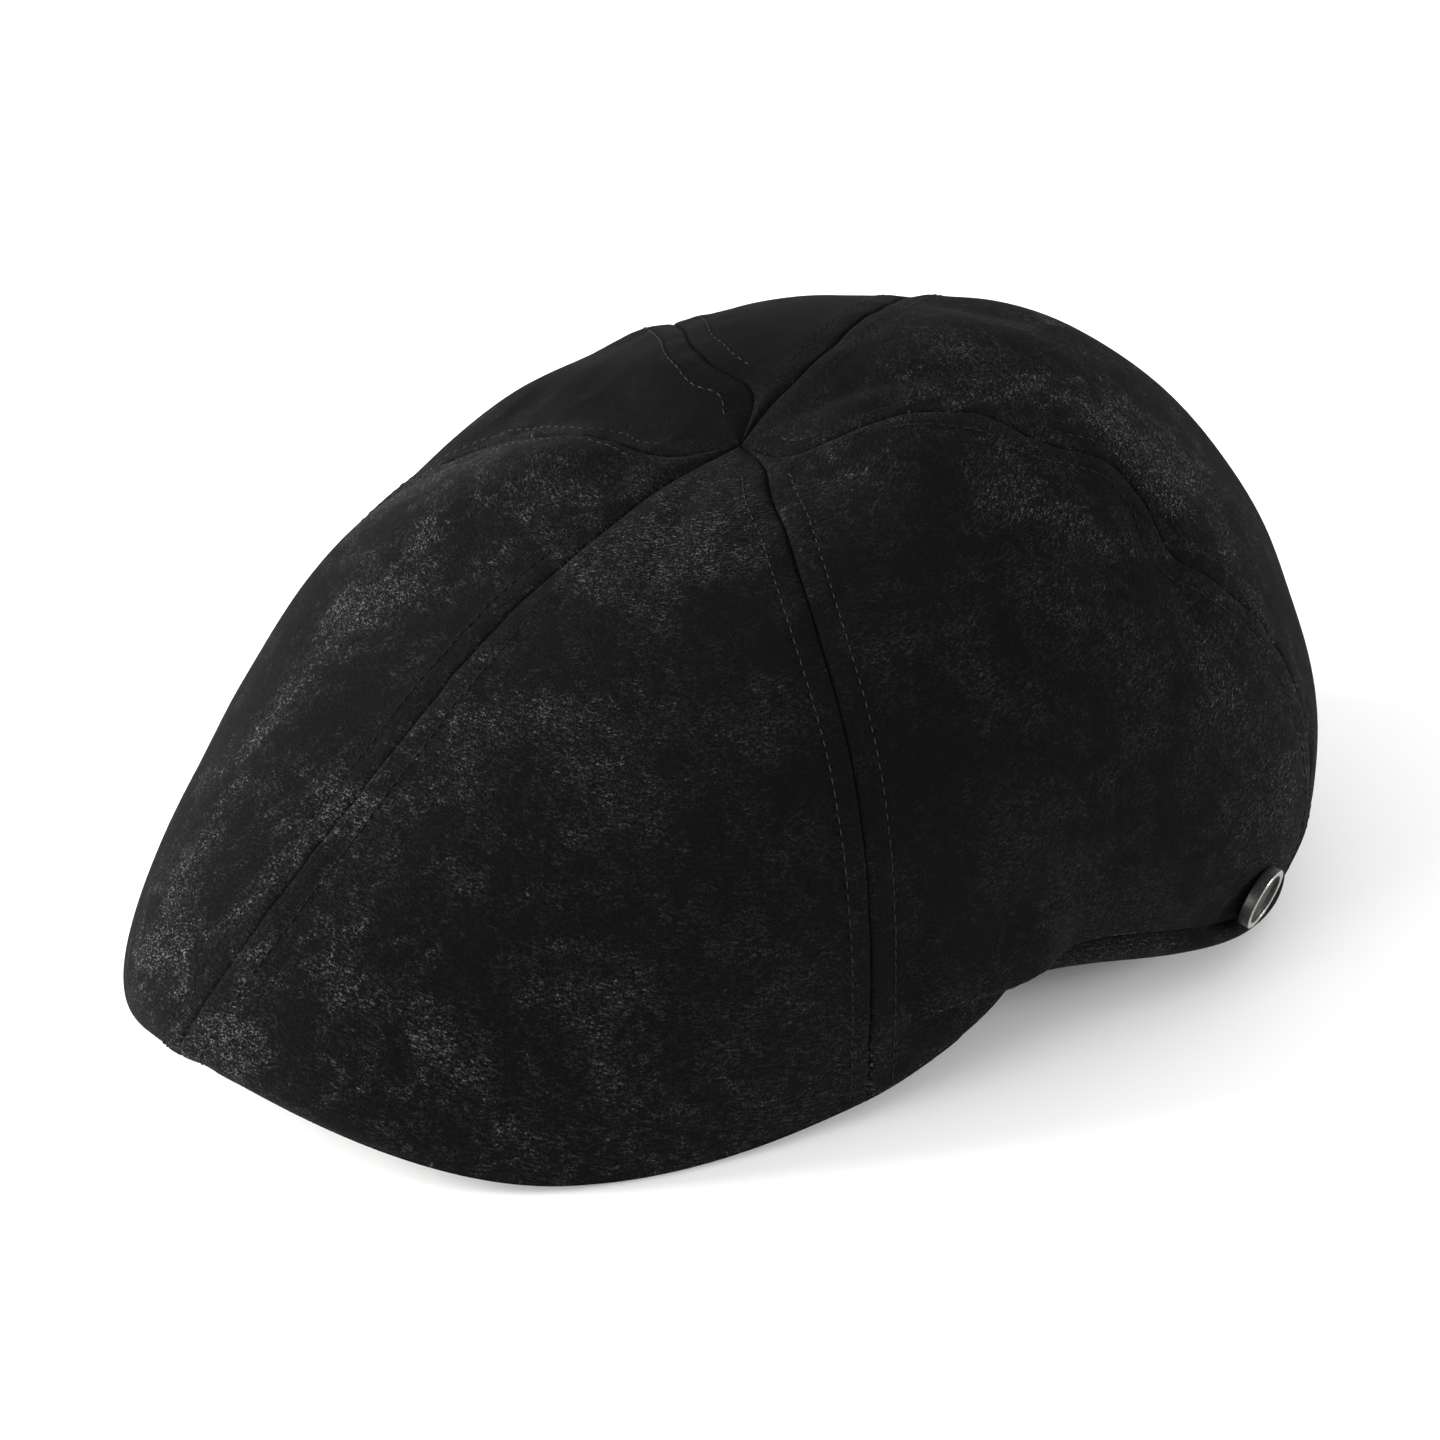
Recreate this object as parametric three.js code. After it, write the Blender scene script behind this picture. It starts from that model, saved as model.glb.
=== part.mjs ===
// Six-gore duckbill cap in brushed black suede cloth: six gores, a bill, a headband and a small metal badge.
// Millimetres, +Z up. The bill points along -Y and the wearer's left is +X.
// The origin lies on the floor under the middle of the cap's outer box.
import * as THREE from 'three';

// Crown sizes
const front_reach = 148;      // crown's middle to the bill's front edge
const back_reach = 122;       // crown's middle to the back hem
const side_reach = 93;        // crown's middle to the side hem
const crown_height = 110;     // floor to the crown's middle
const cloth_wall = 1.8;       // gore cloth
const seam_gap = 0.3;         // clearance between pieces that are sewn together
const tip_cut = 1.0;          // where the gore points stop short of the crown's middle
const gore_puff = 1.9;        // swell of each gore between its seams

// Bill, headband and badge sizes
const bill_edge = 3.0;        // edge of the bill that shows below the front gores
const bill_thickness = 3.2;
const bill_half_angle = 81;   // plan angle from the front to each end of the bill, degrees
const band_wall = 2.0;
const band_height = 26;
const band_strip = 6.5;       // strip of the headband that shows below the hem
const badge_diameter = 14;
const badge_thickness = 2.0;
const badge_rim = 1.3;        // width of the raised rim
const badge_field = 1.2;      // thickness inside the rim
const badge_turn = 11.5;       // plan angle at the hem from the badge to the left back seam, degrees
const badge_rise = 7;         // middle of the badge above the hem

// Rows of the crown from the front round one side to the back, mirrored on the other side.
// angle: plan angle from the front, degrees
// foot: reach of the lower edge, share of the plan oval's reach at that angle
// rim: height of the lower edge of the bill or headband, share of crown_height
// run, rise: how far the top is drawn out level and how far up, shares of the reach and of crown_height
// bulge, pull: how far the side is drawn out past its foot and how high, shares of the reach and of crown_height
// band: reach of the headband, share of the reach inside the cloth
// seat: height of the headband's lower edge, share of crown_height
const crown_rows = [
  { angle: 0, foot: 1.00, rim: 0.145, run: 0.40, rise: -0.08, bulge: 0.16, pull: 0.13, band: 0.55, seat: 0.25 },
  { angle: 30, foot: 1.03, rim: 0.008, run: 0.52, rise: -0.08, bulge: 0.00, pull: 0.42, band: 0.65, seat: 0.20 },
  { angle: 60, foot: 1.005, rim: 0.040, run: 0.67, rise: -0.05, bulge: 0.11, pull: 0.60, band: 0.87, seat: 0.165 },
  { angle: 90, foot: 1.01, rim: 0.155, run: 0.66, rise: 0.04, bulge: 0.22, pull: 0.56, band: 1.00, seat: 0.155 },
  { angle: 120, foot: 1.13, rim: 0.055, run: 0.66, rise: 0.23, bulge: 0.25, pull: 0.46, band: 1.00, seat: 0.055 },
  { angle: 150, foot: 1.045, rim: 0.010, run: 0.70, rise: 0.30, bulge: 0.20, pull: 0.52, band: 1.00, seat: 0.01 },
  { angle: 180, foot: 1.01, rim: 0.000, run: 0.67, rise: 0.35, bulge: 0.21, pull: 0.62, band: 1.00, seat: 0.00 },
];
const row_step = crown_rows[1].angle - crown_rows[0].angle;
const top_sink = 0.036;       // how deep the cloth sinks where the gores meet, share of crown_height
const top_sink_reach = 0.12;  // how far down the gores that goes, share of the way to the hem

// Dents and humps of the soft crown, each a rounded hollow (negative) or hump (positive).
// angle, spread: middle and half width round the crown, degrees
// along, reach: middle and half length down the gore, shares of the way from the top to the hem
// depth: share of crown_height
const dents = [
  { name: 'right_sag', angle: -135, spread: 34, along: 0.45, reach: 0.30, depth: -0.020 },
  { name: 'top_dip', angle: -88, spread: 26, along: 0.30, reach: 0.16, depth: -0.030 },
  { name: 'side_right_dip', angle: -74, spread: 18, along: 0.48, reach: 0.14, depth: -0.018 },
  { name: 'front_right_hump', angle: -42, spread: 13, along: 0.30, reach: 0.14, depth: 0.020 },
  { name: 'front_right_swell', angle: -46, spread: 24, along: 0.72, reach: 0.22, depth: 0.022 },
  { name: 'left_pucker', angle: 117, spread: 8, along: 0.50, reach: 0.08, depth: -0.024 },
  { name: 'left_bill_fold', angle: 80, spread: 12, along: 0.88, reach: 0.045, depth: -0.012 },
  { name: 'right_bill_fold', angle: -80, spread: 12, along: 0.88, reach: 0.045, depth: -0.012 },
];

// Seams. angle: plan angle from the front, degrees; bow: how far the seam swings round halfway down, degrees
// drift: how far it has moved round by the hem, degrees
const seams = {
  front: { angle: 0, bow: 1, drift: -3 },
  left_front: { angle: 60.5, bow: 0.5, drift: 0 },
  left_back: { angle: 123.5, bow: 3, drift: 5 },
  back: { angle: 180, bow: 13, drift: 0 },
  right_back: { angle: 236.5, bow: 3, drift: 0 },
  right_front: { angle: 299.5, bow: -10, drift: 0 },
  front_again: { angle: 360, bow: 1, drift: -3 },
};
const gores = [
  { name: 'gore_front_left', from: 'front', to: 'left_front' },
  { name: 'gore_side_left', from: 'left_front', to: 'left_back' },
  { name: 'gore_back_left', from: 'left_back', to: 'back' },
  { name: 'gore_back_right', from: 'back', to: 'right_back' },
  { name: 'gore_side_right', from: 'right_back', to: 'right_front' },
  { name: 'gore_front_right', from: 'right_front', to: 'front_again' },
];

// Mesh fineness
const gore_steps_across = 14;
const gore_steps_down = 22;
const bill_steps = 40;
const bill_steps_in = 5;
const band_steps = 72;
const badge_sides = 28;

const radians = THREE.MathUtils.degToRad;
const lerp = THREE.MathUtils.lerp;

// Plan angle away from the front, the same on both sides
const off_front = (angle) => Math.abs(THREE.MathUtils.euclideanModulo(angle + 180, 360) - 180);

// One column of the table at any angle, by a smooth curve through the mirrored rows
function column(name, angle) {
  const turn = off_front(angle);
  const row = Math.min(Math.floor(turn / row_step), crown_rows.length - 2);
  const share = turn / row_step - row;
  const last = crown_rows.length - 1;
  const value = (index) => {
    const back = index > last ? 2 * last - index : index;
    return crown_rows[Math.abs(back)][name];
  };
  const [before, here, next, after] = [value(row - 1), value(row), value(row + 1), value(row + 2)];
  const start_slope = (next - before) / 2;
  const end_slope = (after - here) / 2;
  const square = share * share;
  const cube = square * share;
  return here * (2 * cube - 3 * square + 1) + start_slope * (cube - 2 * square + share)
    + next * (3 * square - 2 * cube) + end_slope * (cube - square);
}

// Reach of the lower edge from the crown's middle
function foot_reach(angle) {
  const along = Math.cos(radians(angle));
  const across = Math.sin(radians(angle));
  const end_reach = along > 0 ? front_reach : back_reach;
  return column('foot', angle) / Math.hypot(across / side_reach, along / end_reach);
}

const rim_height = (angle) => crown_height * column('rim', angle);

function seam_angle(name, along) {
  const seam = seams[name];
  return seam.angle + seam.bow * Math.sin(Math.PI * along) + seam.drift * along ** 3;
}

// Hem of the gores: just above the bill's edge in front, above the band's strip at the sides and back
function hem_height(angle) {
  const behind = THREE.MathUtils.smoothstep(off_front(angle), bill_half_angle - 8, bill_half_angle + 16);
  return rim_height(angle) + lerp(bill_edge, band_strip, behind);
}

// A point at a reach and height in the upright plane at a plan angle
function turned(angle, reach, height) {
  return new THREE.Vector3(reach * Math.sin(radians(angle)), -reach * Math.cos(radians(angle)), height);
}

function dent_depth(angle, along) {
  let depth = 0;
  for (const dent of dents) {
    const turn = THREE.MathUtils.euclideanModulo(angle - dent.angle + 180, 360) - 180;
    const far = (turn / dent.spread) ** 2 + ((along - dent.along) / dent.reach) ** 2;
    depth += dent.depth * crown_height * Math.exp(-far);
  }
  return depth;
}

// The smooth crown without dents: along runs from 0 at the top to 1 at the hem
function crown_point(angle, along) {
  const reach = foot_reach(angle);
  const hem = hem_height(angle);
  const curve = new THREE.CubicBezierCurve(
    new THREE.Vector2(0, crown_height),
    new THREE.Vector2(reach * column('run', angle), crown_height * (1 + column('rise', angle))),
    new THREE.Vector2(reach * (1 + column('bulge', angle)), hem + crown_height * column('pull', angle)),
    new THREE.Vector2(reach, hem),
  );
  const point = curve.getPoint(along);
  const sink = crown_height * top_sink * Math.exp(-((along / top_sink_reach) ** 2));
  return turned(angle, point.x, point.y - sink);
}

// Outward direction of the smooth crown
function crown_normal(angle, along) {
  const step = 0.002;
  const round = crown_point(angle + 0.5, along).sub(crown_point(angle - 0.5, along));
  const down = crown_point(angle, Math.min(along + step, 1)).sub(crown_point(angle, Math.max(along - step, 0)));
  return down.cross(round).normalize();
}

// One closed body from a list of rings with the same number of points, first and last ring closed flat
function body_from_rings(rings) {
  const count = rings[0].length;
  const position = rings.flat().flatMap((point) => point.toArray());
  const index = [];
  for (let ring = 0; ring + 1 < rings.length; ring += 1) {
    for (let step = 0; step < count; step += 1) {
      const here = ring * count + step;
      const next = ring * count + (step + 1) % count;
      index.push(here, next + count, next, here, here + count, next + count);
    }
  }
  return { position, index, count };
}

function geometry_from(position, index) {
  const geometry = new THREE.BufferGeometry();
  geometry.setAttribute('position', new THREE.Float32BufferAttribute(position, 3));
  geometry.setIndex(index);
  geometry.computeVertexNormals();
  return geometry;
}

// A place on a gore's outer face, by shares across it and down it, with the outward direction of the smooth crown
function gore_place(gore, share, along) {
  const from = seam_angle(gore.from, along);
  const to = seam_angle(gore.to, along);
  const flat = crown_point(lerp(from, to, share), along);
  const inset = THREE.MathUtils.radToDeg(Math.asin(seam_gap / 2 / Math.hypot(flat.x, flat.y)));
  const angle = lerp(from + inset, to - inset, share);
  const normal = crown_normal(angle, along);
  const swell = gore_puff * Math.sin(Math.PI * share) * Math.sin(Math.PI * along ** 0.8) ** 0.7;
  const point = crown_point(angle, along).addScaledVector(normal, swell + dent_depth(angle, along));
  return { point, normal };
}

// A cloth gore: an outer and an inner grid of points joined round their edges
function gore_geometry(gore) {
  const outer = [];
  const inner = [];
  let start = 0;
  while (crown_point(seams[gore.from].angle, start).setZ(0).length() < tip_cut) {
    start += 0.0005;
  }
  for (let row = 0; row <= gore_steps_down; row += 1) {
    const along = lerp(start, 1, (row / gore_steps_down) ** 1.1);
    for (let step = 0; step <= gore_steps_across; step += 1) {
      const { point, normal } = gore_place(gore, step / gore_steps_across, along);
      outer.push(point);
      inner.push(point.clone().addScaledVector(normal, -cloth_wall));
    }
  }
  const width = gore_steps_across + 1;
  const size = outer.length;
  const index = [];
  const quad = (a, b, c, d) => index.push(a, b, c, a, c, d);
  for (let row = 0; row < gore_steps_down; row += 1) {
    for (let step = 0; step < gore_steps_across; step += 1) {
      const here = row * width + step;
      quad(here, here + width, here + width + 1, here + 1);
      quad(size + here, size + here + 1, size + here + width + 1, size + here + width);
    }
  }
  for (let row = 0; row < gore_steps_down; row += 1) {
    const first = row * width;
    const last = first + gore_steps_across;
    quad(first, size + first, size + first + width, first + width);
    quad(last, last + width, size + last + width, size + last);
  }
  for (let step = 0; step < gore_steps_across; step += 1) {
    const low = gore_steps_down * width + step;
    quad(step, step + 1, size + step + 1, size + step);
    quad(low, size + low, size + low + 1, low + 1);
  }
  return geometry_from([...outer, ...inner].flatMap((point) => point.toArray()), index);
}

// Headband: reach of its outer face and height of its lower edge
const band_reach = (angle) => (foot_reach(angle) - cloth_wall - seam_gap) * Math.min(column('band', angle), 1);
const band_seat = (angle) => crown_height * column('seat', angle);

function band_geometry() {
  const position = [];
  const index = [];
  const corners = 4;
  for (let step = 0; step < band_steps; step += 1) {
    const angle = step * 360 / band_steps;
    const reach = band_reach(angle);
    const low = band_seat(angle);
    const section = [[reach, low], [reach, low + band_height], [reach - band_wall, low + band_height],
      [reach - band_wall, low]];
    for (const [out, height] of section) {
      position.push(...turned(angle, out, height).toArray());
    }
    const next = (step + 1) % band_steps;
    for (let corner = 0; corner < corners; corner += 1) {
      const here = step * corners + corner;
      const up = step * corners + (corner + 1) % corners;
      const across = next * corners + corner;
      const across_up = next * corners + (corner + 1) % corners;
      index.push(here, across, across_up, here, across_up, up);
    }
  }
  return geometry_from(position, index);
}

// Bill: sections in upright planes from one end to the other, each a rounded edge and a tapering plate
function bill_geometry() {
  const sections = [];
  for (let step = 0; step <= bill_steps; step += 1) {
    const angle = lerp(-bill_half_angle, bill_half_angle, step / bill_steps);
    const edge = foot_reach(angle);
    const low = rim_height(angle);
    const inside = band_reach(angle) + seam_gap;
    const seat = band_seat(angle);
    const top_out = low + bill_edge - seam_gap;
    const section = [turned(angle, edge - bill_edge / 3, low), turned(angle, edge, low + bill_edge / 3),
      turned(angle, edge, top_out)];
    const shoulder = edge - cloth_wall - seam_gap;
    for (let part = 0; part <= bill_steps_in; part += 1) {
      const share = part / bill_steps_in;
      section.push(turned(angle, lerp(shoulder, inside, share), lerp(top_out, seat + bill_thickness, share)));
    }
    for (let part = bill_steps_in; part > 0; part -= 1) {
      const share = part / bill_steps_in;
      section.push(turned(angle, lerp(edge - bill_edge / 3, inside, share), lerp(low, seat, share)));
    }
    sections.push(section);
  }
  const { position, index, count } = body_from_rings(sections);
  const end = (sections.length - 1) * count;
  for (let corner = 1; corner + 1 < count; corner += 1) {
    index.push(0, corner, corner + 1, end, end + corner + 1, end + corner);
  }
  return geometry_from(position, index);
}

// Badge: a flat disc with a raised rim, its back on its own XY plane
function badge_geometry() {
  const radius = badge_diameter / 2;
  const profile = [[0, 0], [radius, 0], [radius, badge_thickness], [radius - badge_rim, badge_thickness],
    [radius - badge_rim, badge_field], [0, badge_field]];
  const geometry = new THREE.LatheGeometry(profile.map(([out, up]) => new THREE.Vector2(out, up)), badge_sides);
  return geometry.rotateX(Math.PI / 2);
}

// The badge lies on the left side gore, between the hem and the left back seam
function place_badge(badge) {
  const gore = gores.find((one) => one.name === 'gore_side_left');
  const share = 1 - badge_turn / (seam_angle(gore.to, 1) - seam_angle(gore.from, 1));
  const hem = gore_place(gore, share, 1).point;
  let along = 1;
  while (gore_place(gore, share, along).point.distanceTo(hem) < badge_rise) {
    along -= 0.002;
  }
  const middle = gore_place(gore, share, along).point;
  const up = gore_place(gore, share, along - 0.01).point.sub(middle).normalize();
  const round = gore_place(gore, share + 0.02, along).point.sub(middle).normalize();
  const out = round.clone().cross(up).normalize();
  badge.quaternion.setFromRotationMatrix(new THREE.Matrix4().makeBasis(round, out.clone().cross(round), out));
  badge.position.copy(middle).addScaledVector(out, seam_gap);
  return badge;
}

const suede = { color: 0x17171a, roughness: 0.95, metalness: 0 };
const band_cloth = { color: 0x141416, roughness: 0.9, metalness: 0 };
const gunmetal = { color: 0x55555a, roughness: 0.35, metalness: 1 };

function part(name, geometry, look) {
  const mesh = new THREE.Mesh(geometry, new THREE.MeshStandardMaterial(look));
  mesh.name = name;
  return mesh;
}

const cap = new THREE.Group();
for (const gore of gores) {
  cap.add(part(gore.name, gore_geometry(gore), suede));
}
cap.add(part('bill', bill_geometry(), suede));
cap.add(part('headband', band_geometry(), band_cloth));
cap.add(place_badge(part('badge', badge_geometry(), gunmetal)));

const box = new THREE.Box3().setFromObject(cap, true);
const middle = box.getCenter(new THREE.Vector3());
cap.position.set(-middle.x, -middle.y, -box.min.z);

export default cap;
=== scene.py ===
"""Dresses the soft six-gore duckbill cap: suede gores with stitched seams, bill, headband, badge and studio."""

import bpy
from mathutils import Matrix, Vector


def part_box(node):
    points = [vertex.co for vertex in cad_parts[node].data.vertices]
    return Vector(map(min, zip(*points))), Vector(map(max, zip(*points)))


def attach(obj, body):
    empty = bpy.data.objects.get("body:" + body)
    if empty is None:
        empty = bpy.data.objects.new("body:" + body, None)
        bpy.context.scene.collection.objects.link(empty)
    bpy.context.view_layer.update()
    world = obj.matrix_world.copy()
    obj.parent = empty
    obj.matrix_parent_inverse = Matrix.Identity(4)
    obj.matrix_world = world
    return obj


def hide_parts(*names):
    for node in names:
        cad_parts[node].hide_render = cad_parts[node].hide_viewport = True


bl_info = {
    "name": "Duckbill Cap",
    "version": (1, 0, 0),
    "blender": (4, 5, 0),
    "location": "3D View > Sidebar > Cap",
    "description": "Builds a soft duckbill cap in brushed black suede round its construction model",
    "category": "Object",
}

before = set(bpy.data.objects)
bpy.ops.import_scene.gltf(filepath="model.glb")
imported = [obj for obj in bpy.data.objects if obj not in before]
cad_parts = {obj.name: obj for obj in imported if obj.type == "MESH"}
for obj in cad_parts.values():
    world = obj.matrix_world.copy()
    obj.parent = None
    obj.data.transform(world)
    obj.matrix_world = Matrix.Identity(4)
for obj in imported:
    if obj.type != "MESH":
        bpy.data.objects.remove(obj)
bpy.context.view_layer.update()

import math

import bpy
import numpy as np
from mathutils import Matrix, Vector, noise

MM = 0.001

# Crown rows from the front round one side to the back, mirrored on the other side, one column to a name.
# foot: reach of the lower edge, share of the plan oval; rim: its height, share of the crown's height
# run, rise: how far the top is drawn out level and up, shares of the reach and of the crown's height
# bulge, pull: how far the side is drawn out past its foot and how high, shares of the same two
# band, seat: headband's reach, share of the reach inside the cloth, and its lower edge, share of the height
ROW_NAMES = ("foot", "rim", "run", "rise", "bulge", "pull", "band", "seat")
CROWN_ROWS = {
    0: (1.00, 0.145, 0.40, -0.08, 0.16, 0.13, 0.55, 0.25),
    30: (1.03, 0.008, 0.52, -0.08, 0.00, 0.42, 0.65, 0.20),
    60: (1.005, 0.040, 0.67, -0.05, 0.11, 0.60, 0.87, 0.165),
    90: (1.01, 0.155, 0.66, 0.04, 0.22, 0.56, 1.00, 0.155),
    120: (1.13, 0.055, 0.66, 0.23, 0.25, 0.46, 1.00, 0.055),
    150: (1.045, 0.010, 0.70, 0.30, 0.20, 0.52, 1.00, 0.01),
    180: (1.01, 0.000, 0.67, 0.35, 0.21, 0.62, 1.00, 0.00),
}
ROW_STEP = 30

# Broad dents and humps: angle, spread in degrees; along, reach as shares of the way down; depth, share of height
DENTS = [
    # name, angle, spread, along, reach, depth
    ("right_sag", -135, 34, 0.45, 0.30, -0.020),
    ("top_dip", -88, 26, 0.30, 0.16, -0.030),
    ("side_right_dip", -74, 18, 0.48, 0.14, -0.006),
    ("front_right_hump", -42, 13, 0.30, 0.14, 0.020),
    ("front_right_swell", -46, 24, 0.72, 0.22, 0.022),
    ("side_right_swell", -66, 14, 0.58, 0.12, 0.012),
    ("back_left_corner", 152, 16, 0.90, 0.12, 0.010),
    ("left_pucker", 117, 8, 0.50, 0.08, -0.024),
    ("left_bill_fold", 80, 12, 0.88, 0.045, -0.012),
    ("right_bill_fold", -80, 12, 0.88, 0.045, -0.012),
]

# Seams: plan angle from the front, degrees, by share of the way from the top to the hem
SEAMS = {
    "front": [(0, -2), (0.16, 0), (0.3, -0.6), (0.45, 1), (0.65, 1.2), (0.82, -0.2), (1, -2.6)],
    "left_front": [(0, 78), (0.03, 76), (0.12, 62), (0.2, 61), (0.58, 61.5), (0.86, 61), (1, 60.5)],
    "left_back": [(0, 88), (0.07, 89), (0.105, 105), (0.12, 114), (0.145, 123.5), (0.17, 128), (0.2, 129.7),
                  (0.23, 130), (0.255, 129), (0.285, 127), (0.315, 126.8), (0.345, 129), (0.375, 130),
                  (0.4, 129), (0.42, 127.5), (0.45, 124.3), (0.49, 122.5), (0.54, 124), (0.6, 125.8),
                  (0.8, 128), (1, 128.5)],
    "back": [(0, 196), (0.05, 192), (0.08, 188), (0.115, 187.5), (0.16, 189.5), (0.21, 191), (0.31, 196),
             (0.45, 194), (0.7, 184), (1, 180)],
    "right_back": [(0, 212), (0.06, 215), (0.105, 236), (0.16, 242), (0.25, 240.5), (0.5, 238), (1, 236.5)],
    "right_front": [(0, 326), (0.045, 329), (0.07, 328), (0.09, 323), (0.11, 317), (0.135, 306), (0.22, 296.5),
                    (0.34, 288.5), (0.45, 288), (0.6, 292), (0.8, 298), (1, 299.5)],
}
SEAMS["front_again"] = [(along, angle + 360) for along, angle in SEAMS["front"]]
# How deep each seam's valley is, share of the deepest
SEAM_DEPTH = {"front": 0.45, "left_front": 0.9, "left_back": 0.65, "back": 0.6, "right_back": 0.5,
              "right_front": 0.75, "front_again": 0.45}
GORES = [
    ("front_left", "front", "left_front"),
    ("side_left", "left_front", "left_back"),
    ("back_left", "left_back", "back"),
    ("back_right", "back", "right_back"),
    ("side_right", "right_back", "right_front"),
    ("front_right", "right_front", "front_again"),
]

# Relief of a sewn seam: its valley, the raised edges turned under it and the groove that the topstitching pulls in
VALLEY_DEPTH, VALLEY_WIDTH = 1.0 * MM, 0.4 * MM
RAISED_BY, RAISED_END = 0.25 * MM, (5.4 * MM, 7.2 * MM)
GROOVE_DEPTH, GROOVE_WIDTH = 0.3 * MM, 0.6 * MM
# Reaches from the crown's middle between which the relief and the puckers of the seams come in
RELIEF_START, PUCKER_START = (8 * MM, 24 * MM), (8 * MM, 30 * MM)

# Uneven cloth: short puckers close to a seam, longer waves all over
PUCKER_SIZE, PUCKER_HEIGHT, PUCKER_SPREAD = 7 * MM, 0.55 * MM, 12 * MM
WAVE_SIZE, WAVE_HEIGHT = 24 * MM, 0.5 * MM
HEM_TURN_WIDTH = 1.3 * MM

# Soft creases and ridges of the cloth, each along a line on the crown.
# start and end: (angle, along); width and depth in millimetres, depth below zero for a crease
FOLDS = [
    # name, start, end, width, depth
    ("pucker_crease", (130, 0.385), (122.5, 0.50), 3.0, -0.9),
    ("pucker_ridge", (138, 0.34), (128, 0.50), 8.0, 0.9),
    ("pucker_lip", (119, 0.42), (114, 0.51), 3.5, 0.8),
    ("pucker_hollow", (109, 0.44), (105, 0.53), 7.0, -1.2),
    ("pucker_run", (118, 0.54), (112, 0.60), 4.0, -0.7),
    ("apex_front_left", (22, 0.08), (26, 0.26), 3.5, -0.8),
    ("apex_side_left", (84, 0.10), (92, 0.24), 4.0, -0.7),
    ("apex_back_left", (150, 0.06), (146, 0.20), 3.5, -0.8),
    ("hump_ridge", (-38, 0.12), (-62, 0.28), 8.0, 2.2),
    ("hollow_crease", (-70, 0.08), (-92, 0.27), 9.0, -3.6),
    ("side_right_ridge", (-104, 0.12), (-100, 0.30), 8.0, 1.4),
    ("side_right_flat", (-86, 0.36), (-88, 0.44), 8.0, -1.2),
    ("back_notch", (188, 0.27), (169, 0.34), 9.0, -2.2),
    ("right_corner", (-116, 0.33), (-113, 0.42), 8.0, 1.6),
]

# Line where the side of the crown blouses over the bill's end: plan angle and share of the way to the hem
BILL_END_FOLD = [(60, 0.915), (67.5, 0.928), (72, 0.938), (77.5, 0.960), (81.5, 0.975), (90, 1.0)]
# Plan angles between which that fold comes in and dies away, degrees, and the width of its step
FOLD_START, FOLD_END = (64, 70), (84, 92)
FOLD_STEP = (-0.3 * MM, 1.2 * MM)
# Above and below the step: how far on the cloth starts to settle and how slowly
SETTLE_ABOVE, SETTLE_BELOW = (1.8 * MM, 13 * MM), (0.3 * MM, 5 * MM)

# Bill: plan angle over which its ends are drawn in and by how much, its bead's radius as a share of the edge
# that shows, its edge's thickness under the cloth as a share of the root's, and steps of its underside
END_ANGLE, END_DRAWN_IN = 8, 4.5 * MM
BEAD_SHARE, EDGE_SHARE = 0.62, 0.85
UNDER_STEPS, STITCH_STEP = 26, 23

# Badge: steps of its sunk field as (inset, rise), its edges' rounding and how far it stands off its node's place
FIELD_STEPS = [(0.25 * MM, -0.9 * MM), (1.6 * MM, 0.12 * MM), (1.8 * MM, 0.1 * MM)]
BADGE_BEVEL, BADGE_OFFSET = 0.22 * MM, 0.6 * MM

# Places for the suede's painted light, metres: less painted sheen in the light speckle on the left side, painted
# shade in the hollow top, a painted highlight on the fold ridges at the bill's ends
LEFT_SIDE, HOLLOW_TOP, BILL_END = (0.10, -0.01, 0.04), (-0.030, 0.030, 0.115), (0.091, 0.024, 0.006)

# Distances of the mesh columns from a seam, millimetres: close together on the seam and on its topstitching
EDGE_COLUMNS = np.array([0.0, 0.3, 0.6, 0.95, 1.4, 2.1, 3.0, 3.9, 4.5, 4.9, 5.3, 5.7, 6.1, 6.7, 7.8]) * MM
STITCH_COLUMN = 10


def cubic(here, start_slope, after, end_slope, share):
    """A cubic from one value to the next with a slope at each."""
    square, cube = share**2, share**3
    return (
        here * (2 * cube - 3 * square + 1)
        + start_slope * (cube - 2 * square + share)
        + after * (3 * square - 2 * cube)
        + end_slope * (cube - square)
    )


def curve(table, place):
    """A smooth curve through (place, value) pairs."""
    places, values = (np.array(part, float) for part in zip(*table))
    slopes = np.gradient(values, places)
    place = np.clip(place, places[0], places[-1])
    here = np.clip(np.searchsorted(places, place, "right") - 1, 0, len(places) - 2)
    span = places[here + 1] - places[here]
    share = (place - places[here]) / span
    return cubic(values[here], slopes[here] * span, values[here + 1], slopes[here + 1] * span, share)


def off_front(angle):
    """Plan angle away from the front, the same on both sides, degrees."""
    return np.abs((np.asarray(angle, float) + 180) % 360 - 180)


def column(name, angle):
    """One column of the crown rows at any plan angles, by a smooth curve through the mirrored rows."""
    place = ROW_NAMES.index(name)
    values = np.array([row[place] for row in CROWN_ROWS.values()])
    last = len(values) - 1
    turn = off_front(angle) / ROW_STEP
    row = np.minimum(turn.astype(int), last - 1)
    share = turn - row

    def value(index):
        index = np.abs(index)
        return values[np.where(index > last, 2 * last - index, index)]

    here, after = value(row), value(row + 1)
    return cubic(here, (after - value(row - 1)) / 2, after, (value(row + 2) - here) / 2, share)


def smooth(value, low, high):
    """A smooth step from 0 at low to 1 at high."""
    share = np.clip((value - low) / (high - low), 0, 1)
    return share * share * (3 - 2 * share)


def bump(value, width):
    """A rounded hump that is 1 at 0 and dies away past width."""
    return np.exp(-((value / width) ** 2))


def unit(vectors):
    """Directions of vectors, each 1 long."""
    return vectors / np.maximum(np.linalg.norm(vectors, axis=-1, keepdims=True), 1e-12)


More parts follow.
